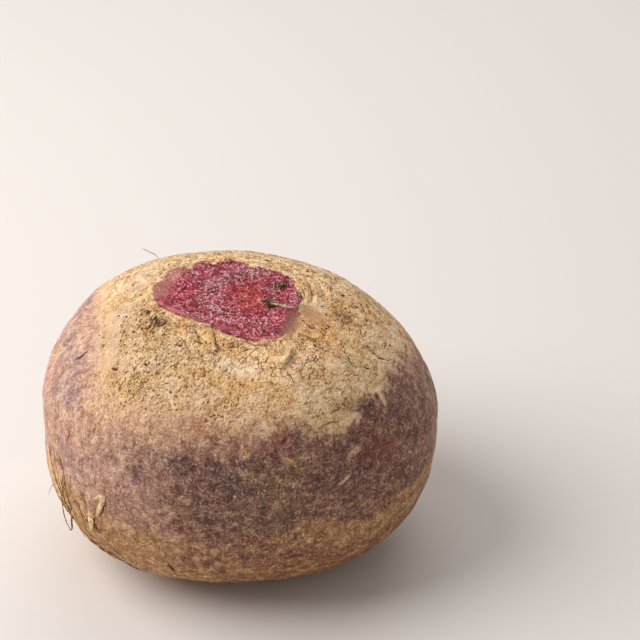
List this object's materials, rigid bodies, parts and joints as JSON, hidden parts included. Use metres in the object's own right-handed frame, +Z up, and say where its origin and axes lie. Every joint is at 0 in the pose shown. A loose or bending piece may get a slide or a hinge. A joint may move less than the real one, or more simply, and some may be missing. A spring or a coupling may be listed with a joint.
{
  "type": "beetroot",
  "caption": "Whole raw beetroot, topped and tailed, standing on its flat tail cut, with the sliced crown showing magenta flesh and corky tan skin round it.",
  "frame": {"origin": "on the ground, under the middle of the body's box", "axes": "+Z up through the crown, +X along the widest way across, -Y the front"},
  "size_m": [0.1008, 0.089, 0.0719],
  "materials": {
    "beetroot_skin": "dry matt skin: corky tan shoulders, mottled mauve and brown flanks, magenta flesh on the crown's cut face"
  },
  "bodies": {
    "root": {"beetroot": "beetroot_skin"}
  },
  "joints": []
}
